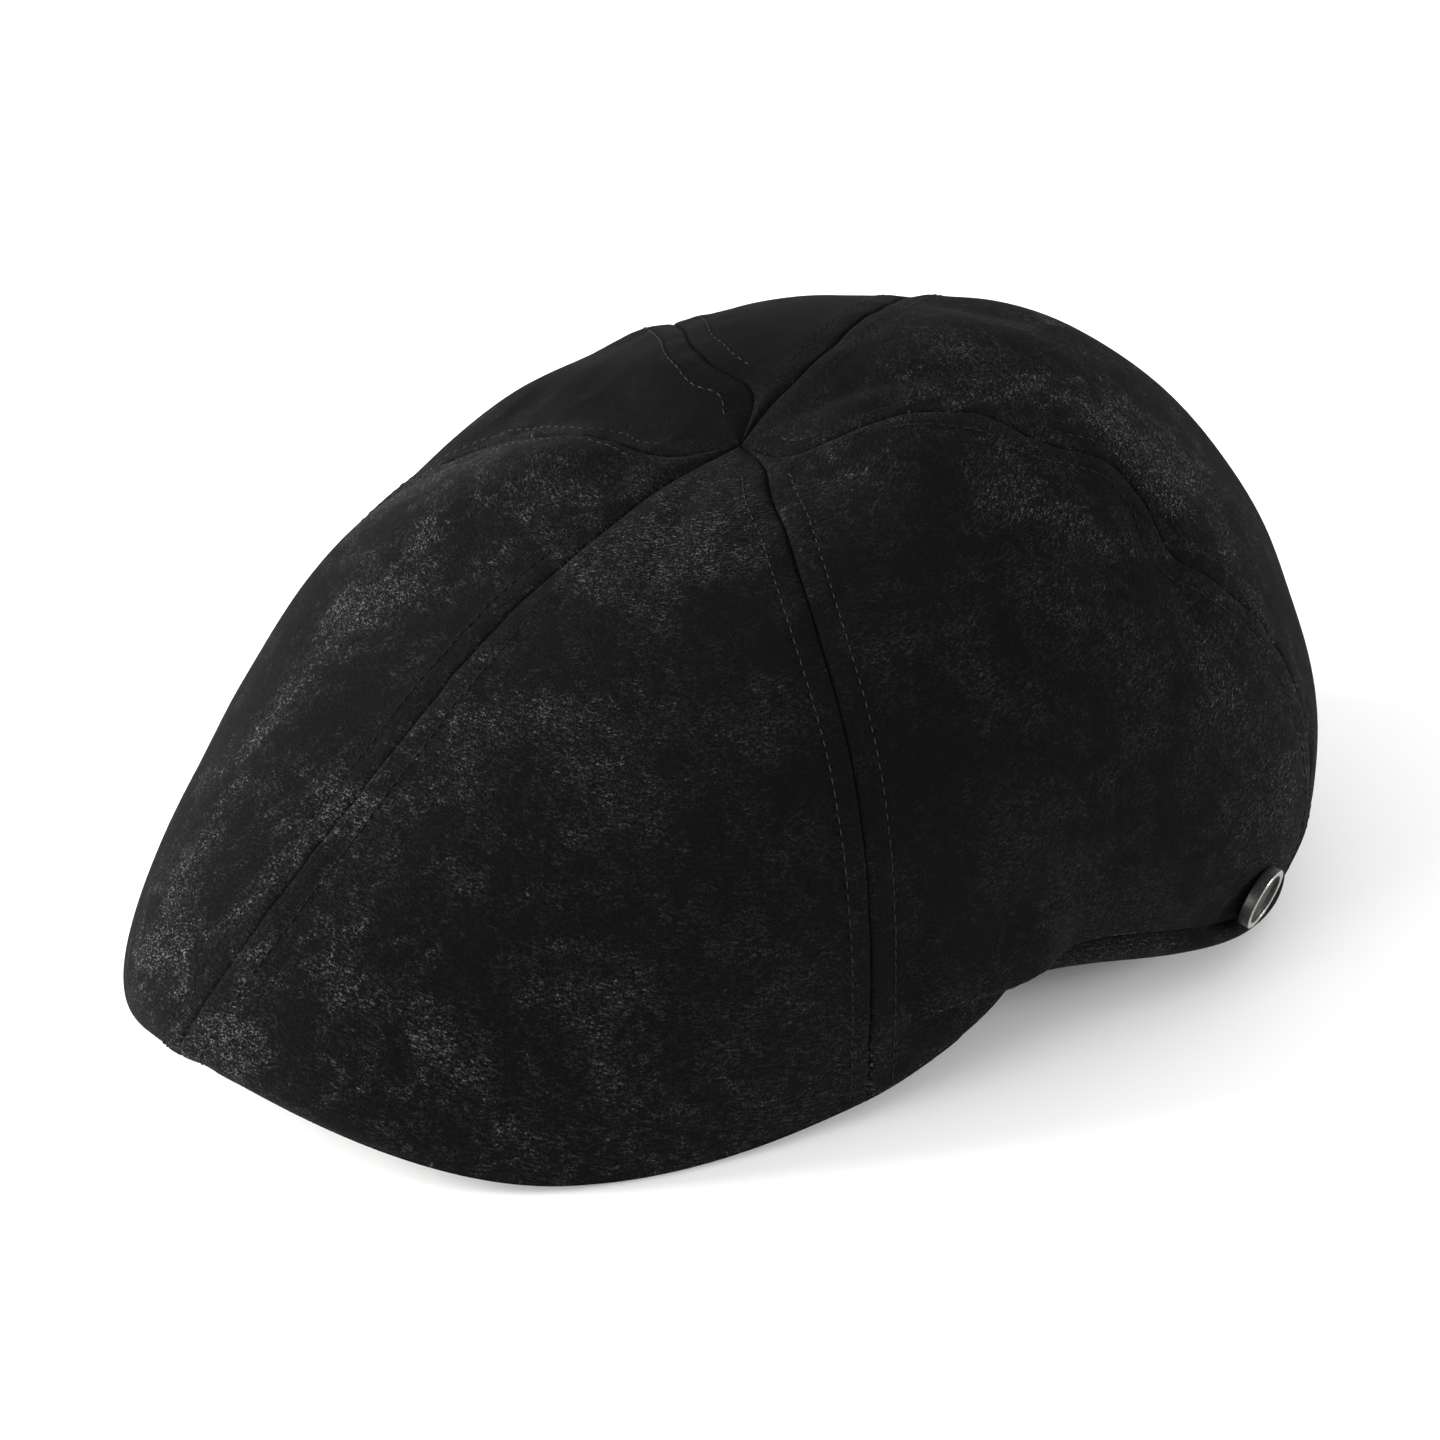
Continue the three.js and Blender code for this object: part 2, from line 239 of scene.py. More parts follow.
def path_lengths(points):
    """Length of the way to each point of a path."""
    return np.concatenate([[0], np.cumsum(np.linalg.norm(np.diff(points, axis=0), axis=1))])


def foot_reach(cap, angle):
    """Reach of the lower edge from the crown's middle."""
    along, across = np.cos(np.radians(angle)), np.sin(np.radians(angle))
    end = np.where(along > 0, cap.front_reach, cap.back_reach)
    return column("foot", angle) / np.hypot(across / cap.side_reach, along / end)


def rim_height(cap, angle):
    """Height of the lower edge."""
    return cap.crown_height * column("rim", angle)


def hem_height(cap, angle):
    """Hem of the gores: just above the bill's edge in front, above the band's strip at the sides and back."""
    behind = smooth(off_front(angle), cap.bill_half_angle - END_ANGLE, cap.bill_half_angle + 2 * END_ANGLE)
    return rim_height(cap, angle) + cap.bill_bead + (cap.band_strip - cap.bill_bead) * behind


def band_reach(cap, angle):
    """Outer reach of the headband, inside the cloth."""
    return (foot_reach(cap, angle) - cap.cloth_wall - cap.seam_gap) * np.minimum(column("band", angle), 1)


def band_seat(cap, angle):
    """Height of the headband's lower edge."""
    return cap.crown_height * column("seat", angle)


def turned(angle, reach, height):
    """Points at a reach and a height in the upright planes at plan angles, round the crown's middle."""
    turn = np.radians(angle)
    return np.stack(np.broadcast_arrays(reach * np.sin(turn), -reach * np.cos(turn), height), -1)


def crown_point(cap, angle, along):
    """The smooth crown without dents: along runs from 0 at the top to 1 at the hem."""
    reach, hem, tall = foot_reach(cap, angle), hem_height(cap, angle), cap.crown_height
    outs = (0 * reach, reach * column("run", angle), reach * (1 + column("bulge", angle)), reach)
    ups = (tall + 0 * reach, tall * (1 + column("rise", angle)), hem + tall * column("pull", angle), hem)
    rest = 1 - along
    weights = (rest**3, 3 * rest**2 * along, 3 * rest * along**2, along**3)
    reach_at = sum(weight * out for weight, out in zip(weights, outs))
    height_at = sum(weight * up for weight, up in zip(weights, ups))
    height_at = height_at - tall * cap.top_sink * bump(along, cap.top_sink_reach)
    return turned(angle, reach_at, height_at)


def crown_normal(cap, angle, along):
    """Outward direction of the smooth crown."""
    step = 0.002
    round_by = crown_point(cap, angle + 0.5, along) - crown_point(cap, angle - 0.5, along)
    down = crown_point(cap, angle, np.minimum(along + step, 1)) - crown_point(cap, angle, np.maximum(along - step, 0))
    return unit(np.cross(down, round_by))


def dent_depth(cap, angle, along):
    """How far the broad dents and humps move the cloth outwards."""
    depth = 0 * angle
    for _, middle, spread, down, reach, deep in DENTS:
        turn = (angle - middle + 180) % 360 - 180
        depth += deep * cap.crown_height * np.exp(-((turn / spread) ** 2) - ((along - down) / reach) ** 2)
    return depth


def fold_depth(cap, points):
    """How far the creases and ridges move the cloth outwards, by distance from each fold's line on the crown."""
    depth = np.zeros(points.shape[:-1])
    for _, start, end, width, deep in FOLDS:
        share = np.linspace(0, 1, 14)
        line = crown_point(cap, start[0] + (end[0] - start[0]) * share, start[1] + (end[1] - start[1]) * share)
        first, step = line[:-1], np.diff(line, axis=0)
        across = points[..., None, :] - first
        on_line = np.clip((across * step).sum(-1) / (step * step).sum(-1), 0, 1)
        far = np.linalg.norm(across - on_line[..., None] * step, axis=-1)
        nearest = far.argmin(-1)[..., None]
        distance = np.take_along_axis(far, nearest, -1)[..., 0]
        way = (nearest + np.take_along_axis(on_line, nearest, -1))[..., 0] / len(step)
        fade = np.sin(np.pi * np.clip(0.08 + 0.84 * way, 0, 1)) ** 0.6
        depth += deep * MM * fade * bump(distance, width * MM)
    return depth


def seam_angle(seam, along):
    """Plan angle of a seam by share of the way down."""
    return curve(SEAMS[seam], along)


def bill_end_fold(cap, angle, along):
    """The cloth of the side stands out over the bill's end above this fold and is drawn in below it."""
    turn = off_front(angle)
    step = 0.01
    ahead = crown_point(cap, angle, along) - crown_point(cap, angle, along - step)
    above = (curve(BILL_END_FOLD, turn) - along) * np.linalg.norm(ahead, axis=-1) / step
    fade = smooth(turn, *FOLD_START) * (1 - smooth(turn, *FOLD_END))
    level = cap.fold_low + (cap.fold_high - cap.fold_low) * smooth(above, *FOLD_STEP)
    settled = bump(np.maximum(above - SETTLE_ABOVE[0], 0), SETTLE_ABOVE[1])
    settled = settled * bump(np.minimum(above + SETTLE_BELOW[0], 0), SETTLE_BELOW[1])
    return fade * level * settled


def seam_relief(cap, distance, down, reach, depth):
    """Relief of a sewn seam: a sharp valley, raised edges beside it and the groove of the topstitching."""
    fade = smooth(reach, *RELIEF_START)
    valley = -VALLEY_DEPTH * depth * np.exp(-distance / VALLEY_WIDTH) * (0.4 + 0.6 * fade)
    raised = RAISED_BY * (1 - smooth(distance, *RAISED_END))
    pulled = 0.6 + 0.4 * np.cos(2 * np.pi * down / cap.stitch_pitch)
    groove = -GROOVE_DEPTH * bump(distance - cap.stitch_offset, GROOVE_WIDTH) * pulled
    return valley + (raised + groove) * fade


def cloth_waves(points, size, seed):
    """Soft uneven waves of the cloth, between about -1 and 1, of one size in metres."""
    flat = points.reshape(-1, 3)
    shift = Vector((seed * 7.3, seed * 3.1, seed * 5.7))
    values = [noise.noise(Vector(point) / size + shift) for point in flat]
    return np.array(values).reshape(points.shape[:-1])


def gore_surface(cap, gore, share, along):
    """Outer face of a gore by shares across and down it."""
    _, first, last = gore
    start, end = seam_angle(first, along), seam_angle(last, along)
    base = crown_point(cap, start + (end - start) * share, along)
    reach = np.hypot(base[..., 0], base[..., 1])
    inset = np.degrees(np.arcsin(np.minimum(cap.thread_gap / np.maximum(reach, MM / 10), 0.4)))
    angle = (start + inset) + (end - start - 2 * inset) * share
    base = crown_point(cap, angle, along)
    normal = crown_normal(cap, angle, along)
    width = reach * np.radians(end - start)
    near = np.minimum(share, 1 - share) * width
    lengths = np.linalg.norm(np.diff(base, axis=0), axis=-1)
    down = np.concatenate([np.zeros((1, base.shape[1])), np.cumsum(lengths, axis=0)])
    swell = cap.gore_puff * np.sin(np.pi * share) * np.sin(np.pi * along**0.8) ** 0.7
    lift = swell + dent_depth(cap, angle, along) + fold_depth(cap, base)
    depth = np.where(share < 0.5, SEAM_DEPTH[first], SEAM_DEPTH[last])
    lift += seam_relief(cap, near, down, reach, depth)
    pucker = cloth_waves(base, PUCKER_SIZE, 1) * bump(near, PUCKER_SPREAD) * smooth(reach, *PUCKER_START)
    lift += PUCKER_HEIGHT * pucker + WAVE_HEIGHT * cloth_waves(base, WAVE_SIZE, 2)
    lift += bill_end_fold(cap, angle, along)
    lift += cap.nap - cap.hem_turn * bump(down[-1] - down, HEM_TURN_WIDTH)
    return base + normal * lift[..., None], np.stack([share * width, down], -1)


def crown_middle(cap):
    """Place of the crown's middle in the row frame, from the headband's box."""
    low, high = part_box("headband")
    return Vector(((low[0] + high[0]) / 2, high[1] - float(band_reach(cap, 180.0)), 0))


def select_none():
    """Deselects every object."""
    for thing in bpy.context.selected_objects:
        thing.select_set(False)


def activate(piece):
    """Makes a piece the active object and the only one selected."""
    select_none()
    bpy.context.view_layer.objects.active = piece
    piece.select_set(True)


def grid_piece(cap, name, points, uv=None):
    """A named sheet: a grid primitive whose vertices take the given rows and columns of points."""
    select_none()
    rows, columns = points.shape[:2]
    bpy.ops.mesh.primitive_grid_add(x_subdivisions=columns - 1, y_subdivisions=rows - 1, size=1)
    piece = bpy.context.active_object
    piece.name = piece.data.name = name
    place = np.array(crown_middle(cap))
    piece.data.vertices.foreach_set("co", (points + place).astype(np.float32).ravel())
    if uv is not None:
        corner = np.empty(len(piece.data.loops), np.int32)
        piece.data.loops.foreach_get("vertex_index", corner)
        piece.data.uv_layers[0].data.foreach_set("uv", uv.reshape(-1, 2)[corner].astype(np.float32).ravel())
    piece.data.update()
    return piece


def apply_modifier(piece, kind, **settings):
    """Adds a modifier with its settings and applies it."""
    activate(piece)
    modifier = piece.modifiers.new(kind.title(), kind)
    for key, value in settings.items():
        setattr(modifier, key, value)
    bpy.ops.object.modifier_apply(modifier=modifier.name)


def edit(piece, *steps):
    """Runs edit-mode steps on all of a piece."""
    activate(piece)
    bpy.ops.object.mode_set(mode="EDIT")
    bpy.ops.mesh.select_all(action="SELECT")
    for step in steps:
        step()
    bpy.ops.object.mode_set(mode="OBJECT")


def finish_piece(piece, materials, nodes=(), crease=40):
    """Smooths a piece, gives it its materials and lets it ride with the frame."""
    activate(piece)
    bpy.ops.object.shade_smooth_by_angle(angle=math.radians(crease))
    for material in materials:
        piece.data.materials.append(material)
    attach(piece, "root")
    if nodes:
        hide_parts(*nodes)


def linear(code):
    """An sRGB hex colour as linear red, green, blue and alpha."""
    parts = [int(code[start:start + 2], 16) / 255 for start in (1, 3, 5)]
    return tuple(part / 12.92 if part <= 0.04045 else ((part + 0.055) / 1.055) ** 2.4 for part in parts) + (1.0,)


def add(tree, kind, inputs=None, **settings):
    """Adds a node with its settings; each input is a value or another node's output socket."""
    node = tree.nodes.new(kind)
    for key, value in settings.items():
        setattr(node, key, value)
    for key, value in (inputs or {}).items():
        if isinstance(value, bpy.types.NodeSocket):
            tree.links.new(value, node.inputs[key])
        else:
            node.inputs[key].default_value = value
    return node


def new_material(name):
    """An empty material and its node tree."""
    material = bpy.data.materials.new(name)
    material.use_nodes = True
    material.node_tree.nodes.clear()
    return material, material.node_tree


def surface(tree, inputs):
    """Ends a material with its principled surface."""
    shader = add(tree, "ShaderNodeBsdfPrincipled", inputs)
    add(tree, "ShaderNodeOutputMaterial", {"Surface": shader.outputs[0]})


def times(tree, first, second):
    """The product of two values, as a socket."""
    return add(tree, "ShaderNodeMath", {0: first, 1: second}, operation="MULTIPLY").outputs[0]


def by_distance(tree, place, middle, distances, values):
    """A value that goes from one to another as the distance from a middle does, as a socket."""
    away = add(tree, "ShaderNodeVectorMath", {0: place, 1: middle}, operation="DISTANCE")
    return add(tree, "ShaderNodeMapRange", {
        "Value": away.outputs["Value"], "From Min": distances[0], "From Max": distances[1],
        "To Min": values[0], "To Max": values[1]}).outputs[0]


def set_stops(ramp, stops):
    """Fills a colour ramp with (place, hex colour) stops."""
    elements = ramp.color_ramp.elements
    while len(elements) < len(stops):
        elements.new(0.5)
    for element, (place, colour) in zip(elements, stops):
        element.position = place
        element.color = linear(colour)


def brushed_suede():
    """Brushed suede cloth: split nap, dull and near black, with worn mottling that shows lighter fibre ends, painted
    sheen in that speckle away from the left side, painted shade in the hollow top and a painted highlight on the fold
    ridges at the bill's ends.
    """
    material, tree = new_material("brushed_black_suede")
    object_place = add(tree, "ShaderNodeTexCoord").outputs["Object"]
    cloth_place = add(tree, "ShaderNodeUVMap", uv_map="UVMap").outputs["UV"]
    # Worn patches 10 to 25 mm across with ragged edges, then blotches of 3 to 5 mm
    patches = add(tree, "ShaderNodeTexNoise", {"Vector": object_place, "Scale": 1 / (30 * MM), "Detail": 5.0,
                                              "Roughness": 0.6, "Distortion": 0.5})
    blotches = add(tree, "ShaderNodeTexNoise", {"Vector": object_place, "Scale": 1 / (5 * MM), "Detail": 3.0,
                                                "Roughness": 0.7, "Distortion": 0.8})
    # Fibre ends 0.45 mm wide and 1.3 mm long that lie across the gore and curl, and grains of 0.5 mm
    stretch = add(tree, "ShaderNodeMapping", {"Vector": cloth_place, "Rotation": (0, 0, -0.6),
                                              "Scale": (1 / (1.3 * MM), 1 / (0.45 * MM), 1)})
    strokes = add(tree, "ShaderNodeTexNoise", {"Vector": stretch.outputs[0], "Scale": 1.0, "Detail": 2.0,
                                               "Roughness": 0.65, "Distortion": 0.9})
    grains = add(tree, "ShaderNodeTexNoise", {"Vector": object_place, "Scale": 1 / (0.5 * MM), "Detail": 2.0,
                                              "Roughness": 0.7})
    wear = add(tree, "ShaderNodeMath", {0: patches.outputs["Fac"], 1: 1.6, 2: blotches.outputs["Fac"]},
               operation="MULTIPLY_ADD")
    worn = add(tree, "ShaderNodeMapRange", {"Value": wear.outputs[0], "From Min": 1.05, "From Max": 1.62,
                                            "To Min": 0.2, "To Max": 1.0}, interpolation_type="SMOOTHSTEP")
    fibre = add(tree, "ShaderNodeMath", {0: grains.outputs["Fac"], 1: strokes.outputs["Fac"]}, operation="ADD")
    ends = add(tree, "ShaderNodeMapRange", {"Value": fibre.outputs[0], "From Min": 0.9, "From Max": 1.35})
    # Painted sheen: the light speckle is held down to half on the middle of the left side and raised a little
    # elsewhere; painted shade darkens the hollow top behind the right front gore's hump
    painted_sheen = by_distance(tree, object_place, LEFT_SIDE, (0.04, 0.13), (0.5, 1.1))
    painted_hollow_shade = by_distance(tree, object_place, HOLLOW_TOP, (0.012, 0.065), (0.1, 1.0))
    mottle_shade_and_sheen = times(tree, times(tree, times(tree, worn.outputs[0], painted_hollow_shade), ends.outputs[0]), painted_sheen)
    # Painted highlight: the ridge of the fold at each end of the bill, found by its pointiness, is painted lighter
    shape = add(tree, "ShaderNodeNewGeometry")
    crest_highlight = add(tree, "ShaderNodeMapRange", {"Value": shape.outputs["Pointiness"], "From Min": 0.505,
                                             "From Max": 0.56, "To Min": 0.0, "To Max": 0.6})
    both_sides = add(tree, "ShaderNodeVectorMath", {0: object_place}, operation="ABSOLUTE")
    nearby = by_distance(tree, both_sides.outputs["Vector"], BILL_END, (0.016, 0.024), (1.0, 0.0))
    level = add(tree, "ShaderNodeMath", {0: times(tree, crest_highlight.outputs[0], nearby), 1: ends.outputs[0], 2: mottle_shade_and_sheen},
                operation="MULTIPLY_ADD")
    tone = add(tree, "ShaderNodeValToRGB", {"Fac": level.outputs[0]})
    set_stops(tone, [(0.0, "#090909"), (0.12, "#0e0e0e"), (0.4, "#1f1f20"), (0.75, "#494a4d")])
    relief = add(tree, "ShaderNodeBump", {"Height": fibre.outputs[0], "Strength": 0.7, "Distance": 0.4 * MM})
    surface(tree, {
        "Base Color": tone.outputs["Color"], "Roughness": 0.95, "IOR": 1.45, "Specular IOR Level": 0.02,
        "Sheen Weight": 0.025, "Sheen Roughness": 0.3, "Sheen Tint": linear("#c8cacf"),
        "Normal": relief.outputs["Normal"]})
    return material


def cloth_back():
    """Reverse of the suede cloth: a flat knitted ground, even and matte."""
    material, tree = new_material("suede_cloth_reverse")
    place = add(tree, "ShaderNodeUVMap", uv_map="UVMap").outputs["UV"]
    knit = add(tree, "ShaderNodeTexWave", {"Vector": place, "Scale": 1 / (1.6 * MM) / 6.3, "Distortion": 1.0,
                                           "Detail": 2.0})
    relief = add(tree, "ShaderNodeBump", {"Height": knit.outputs["Fac"], "Strength": 0.4, "Distance": 0.2 * MM})
    tone = add(tree, "ShaderNodeValToRGB", {"Fac": knit.outputs["Fac"]})
    set_stops(tone, [(0.0, "#0c0c0d"), (1.0, "#161618")])
    surface(tree, {
        "Base Color": tone.outputs["Color"], "Roughness": 0.9, "Specular IOR Level": 0.2,
        "Normal": relief.outputs["Normal"]})
    return material


def twill():
    """Cotton twill of the headband: fine slanting ribs, matte black."""
    material, tree = new_material("black_cotton_twill")
    place = add(tree, "ShaderNodeUVMap", uv_map="UVMap").outputs["UV"]
    slant = add(tree, "ShaderNodeMapping", {"Vector": place, "Rotation": (0, 0, math.radians(55))})
    ribs = add(tree, "ShaderNodeTexWave", {"Vector": slant.outputs[0], "Scale": 1 / (0.8 * MM) / 6.3,
                                           "Distortion": 0.6, "Detail": 1.0})
    relief = add(tree, "ShaderNodeBump", {"Height": ribs.outputs["Fac"], "Strength": 0.6, "Distance": 0.2 * MM})
    tone = add(tree, "ShaderNodeValToRGB", {"Fac": ribs.outputs["Fac"]})
    set_stops(tone, [(0.0, "#0a0a0b"), (1.0, "#1a1a1c")])
    surface(tree, {
        "Base Color": tone.outputs["Color"], "Roughness": 0.8, "Specular IOR Level": 0.3,
        "Sheen Weight": 0.2, "Sheen Roughness": 0.4, "Normal": relief.outputs["Normal"]})
    return material


def polyester_thread():
    """Twisted polyester sewing thread: near black with a faint gloss on each ply."""
    material, tree = new_material("black_polyester_thread")
    place = add(tree, "ShaderNodeTexCoord").outputs["Object"]
    plies = add(tree, "ShaderNodeTexNoise", {"Vector": place, "Scale": 1 / (0.4 * MM), "Detail": 1.0})
    tone = add(tree, "ShaderNodeValToRGB", {"Fac": plies.outputs["Fac"]})
    set_stops(tone, [(0.3, "#08080a"), (0.7, "#111113")])
    surface(tree, {
        "Base Color": tone.outputs["Color"], "Roughness": 0.6, "Specular IOR Level": 0.12})
    return material


def gunmetal(name, light, dark, roughness):
    """Gunmetal plate on a zinc casting: grey metal with faint brushing and darker where it is less handled."""
    material, tree = new_material(name)
    place = add(tree, "ShaderNodeTexCoord").outputs["Object"]
    brushing = add(tree, "ShaderNodeTexNoise", {"Vector": place, "Scale": 1 / (0.5 * MM), "Detail": 3.0})
    tone = add(tree, "ShaderNodeValToRGB", {"Fac": brushing.outputs["Fac"]})
    set_stops(tone, [(0.3, dark), (0.7, light)])
    relief = add(tree, "ShaderNodeBump", {"Height": brushing.outputs["Fac"], "Strength": 0.2,
                                          "Distance": 0.05 * MM})
    surface(tree, {
        "Base Color": tone.outputs["Color"], "Metallic": 1.0, "Roughness": roughness,
        "Normal": relief.outputs["Normal"]})
    return material


def shared(name, make, *words):
    """A material made once and shared by the pieces."""
    return bpy.data.materials.get(name) or make(*words)


class CapSizes(bpy.types.PropertyGroup):
    """Sizes of the cap, in metres, and of its mesh."""

    front_reach: bpy.props.FloatProperty(
        name="Front reach", description="Crown's middle to the bill's front edge", default=0.148, unit="LENGTH")
    back_reach: bpy.props.FloatProperty(
        name="Back reach", description="Crown's middle to the back hem", default=0.122, unit="LENGTH")
    side_reach: bpy.props.FloatProperty(
        name="Side reach", description="Crown's middle to the side hem", default=0.093, unit="LENGTH")
    crown_height: bpy.props.FloatProperty(
        name="Crown height", description="Floor to the crown's middle", default=0.110, unit="LENGTH")
    cloth_wall: bpy.props.FloatProperty(
        name="Cloth wall", description="Thickness of the gore cloth", default=0.0018, unit="LENGTH")
    seam_gap: bpy.props.FloatProperty(
        name="Seam gap", description="Clearance between sewn pieces", default=0.0003, unit="LENGTH")
    thread_gap: bpy.props.FloatProperty(
        name="Thread gap", description="Half of the opening at a sewn seam, below zero where edges press",
        default=-0.00002, unit="LENGTH")
    gore_puff: bpy.props.FloatProperty(
        name="Gore puff", description="Swell of each gore between its seams", default=0.0019, unit="LENGTH")
    nap: bpy.props.FloatProperty(
        name="Nap", description="How far the nap stands out over the construction model", default=0.0005,
        unit="LENGTH")
    top_sink: bpy.props.FloatProperty(
        name="Top sink", description="How deep the cloth sinks where the gores meet, share of the crown's height",
        default=0.036)
    top_sink_reach: bpy.props.FloatProperty(
        name="Top sink reach", description="How far down the gores that goes, share of the way to the hem",
        default=0.12)
    bill_bead: bpy.props.FloatProperty(
        name="Bill bead", description="Rounded edge of the bill that shows below the gores", default=0.0010,
        unit="LENGTH")
    hem_turn: bpy.props.FloatProperty(
        name="Hem turn", description="How far the hem of the gores turns in", default=0.0002, unit="LENGTH")
    fold_high: bpy.props.FloatProperty(
        name="Fold high", description="How far the side stands out over the bill's end", default=0.0036,
        unit="LENGTH")
    fold_low: bpy.props.FloatProperty(
        name="Fold low", description="How far the cloth is drawn in below that fold", default=-0.0024,
        unit="LENGTH")
    bill_thickness: bpy.props.FloatProperty(
        name="Bill thickness", description="Thickness of the bill at its root", default=0.0032, unit="LENGTH")
    bill_half_angle: bpy.props.FloatProperty(
        name="Bill half angle", description="Plan angle from the front to an end of the bill, degrees", default=81)
    band_wall: bpy.props.FloatProperty(
        name="Band wall", description="Thickness of the headband", default=0.002, unit="LENGTH")
    band_height: bpy.props.FloatProperty(
        name="Band height", description="Height of the headband", default=0.026, unit="LENGTH")
    band_strip: bpy.props.FloatProperty(
        name="Band strip", description="Strip of the headband below the hem", default=0.0065, unit="LENGTH")
    stitch_offset: bpy.props.FloatProperty(
        name="Stitch offset", description="Seam to its topstitching", default=0.0053, unit="LENGTH")
    stitch_pitch: bpy.props.FloatProperty(
        name="Stitch pitch", description="One stitch to the next", default=0.0026, unit="LENGTH")
    thread_radius: bpy.props.FloatProperty(
        name="Thread radius", description="Half the thickness of the thread", default=0.00016, unit="LENGTH")
    strip_puff: bpy.props.FloatProperty(
        name="Strip puff", description="How far the headband's strip stands out below the hem", default=0.0030,
        unit="LENGTH")
    badge_diameter: bpy.props.FloatProperty(
        name="Badge diameter", description="Width of the badge", default=0.014, unit="LENGTH")
    badge_thickness: bpy.props.FloatProperty(
        name="Badge thickness", description="Thickness of the badge at its rim", default=0.0026, unit="LENGTH")
    badge_rim: bpy.props.FloatProperty(
        name="Badge rim", description="Width of the badge's raised rim", default=0.0013, unit="LENGTH")
    badge_tilt: bpy.props.FloatProperty(
        name="Badge tilt", description="How far the badge's face is turned to the back, degrees", default=10)
    gore_rows: bpy.props.IntProperty(
        name="Gore rows", description="Mesh rows down a gore", default=190)
    gore_middle: bpy.props.IntProperty(
        name="Gore middle columns", description="Mesh columns between the topstitching", default=72)


class CAP_OT_gores(bpy.types.Operator):
    """Six suede gores with sewn seams, dents, folds and topstitching"""

    bl_idname = "cap.gores"
    bl_label = "Gores"

    def execute(self, context):
        cap = context.scene.cap_sizes
        suede = shared("brushed_black_suede", brushed_suede)
        reverse = shared("suede_cloth_reverse", cloth_back)
        paths = []
        for gore in GORES:
            along = gore_rows(cap)
            share = column_shares(cap, gore, along)
            points, uv = gore_surface(cap, gore, share, along + 0 * share)
            piece = grid_piece(cap, "suede_" + gore[0], points, uv)
            piece.data.materials.append(suede)
            piece.data.materials.append(reverse)
            edit(piece, lambda: bpy.ops.mesh.flip_normals())
            apply_modifier(piece, "SOLIDIFY", thickness=cap.cloth_wall, offset=-1.0, use_even_offset=False,
                           material_offset=1, material_offset_rim=1)
            finish_piece(piece, (), ["gore_" + gore[0]], 60)
            paths += stitch_lines(cap, points)
        sew(cap, "gore_topstitching", paths)
        return {"FINISHED"}


def gore_rows(cap):
    """Shares down the crown for a gore's mesh rows, closer together by the hem."""
    tip = 0.3 * MM / (cap.front_reach * column("run", 0.0) * 3)
    upper = tip + (0.9 - tip) * np.linspace(0, 1, cap.gore_rows)[:, None] ** 1.1
    return np.concatenate([upper, 0.9 + 0.1 * np.linspace(0, 1, cap.gore_rows // 4)[1:, None]])


def column_shares(cap, gore, along):
    """Shares across a gore for its mesh columns: fixed distances beside the seams and even steps between."""
    _, first, last = gore
    start, end = seam_angle(first, along), seam_angle(last, along)
    base = crown_point(cap, (start + end) / 2, along)
    width = np.hypot(base[..., 0], base[..., 1]) * np.radians(end - start)
    edge = EDGE_COLUMNS * np.minimum(1, width / (2.4 * EDGE_COLUMNS[-1])) / width
    middle_start = edge[:, -1:]
    middle = middle_start + (1 - 2 * middle_start) * np.linspace(0, 1, cap.gore_middle)[None, 1:-1]
    return np.concatenate([edge, middle, 1 - edge[:, ::-1]], axis=1)


def stitch_lines(cap, points):
    """Topstitching lines of a gore on both sides: points and outward directions, clear of the crown's middle."""
    down = np.gradient(points, axis=0)
    across = np.gradient(points, axis=1)
    normal = unit(np.cross(down, across))
    width = np.linalg.norm(np.diff(points, axis=1), axis=-1).sum(1)
    wide = width > 2.4 * EDGE_COLUMNS[-1]
    wide &= np.arange(len(width)) < len(width) - 3
    return [(points[wide, place], normal[wide, place]) for place in (STITCH_COLUMN, -1 - STITCH_COLUMN)]


def select_parts(piece, mode):
    """Puts edit mode to selecting vertices, edges or faces, with none of them selected."""
    for part in (piece.data.vertices, piece.data.edges, piece.data.polygons):
        part.foreach_set("select", [False] * len(part))
    bpy.ops.object.mode_set(mode="EDIT")
    bpy.ops.mesh.select_mode(type=mode)
    bpy.ops.object.mode_set(mode="OBJECT")


def one_stitch(cap):
    """A stitch of thread that dips into the cloth at both ends, along Y with the cloth's outer side at +Z."""
    select_none()
    length = cap.stitch_pitch * 0.84
    bpy.ops.mesh.primitive_cylinder_add(vertices=6, radius=cap.thread_radius, depth=length,
                                        rotation=(math.pi / 2, 0, 0))
    stitch = bpy.context.active_object
    bpy.ops.object.transform_apply(location=False, rotation=True, scale=False)
    select_parts(stitch, "EDGE")
    for edge in stitch.data.edges:
        start, end = (stitch.data.vertices[index].co for index in edge.vertices)
        edge.select = abs(start.y - end.y) > length / 2
    bpy.ops.object.mode_set(mode="EDIT")
    bpy.ops.mesh.subdivide(number_cuts=3)
    bpy.ops.object.mode_set(mode="OBJECT")
    for vertex in stitch.data.vertices:
        share = abs(2 * vertex.co.y / length)
        vertex.co.x *= 1 - 0.4 * share**3
        vertex.co.z += cap.thread_radius * (0.5 - 2.4 * share**2.5)
    corners = [list(face.vertices) for face in stitch.data.polygons]
    places = np.array([tuple(vertex.co) for vertex in stitch.data.vertices])
    bpy.data.objects.remove(stitch, do_unlink=True)
    return places, corners


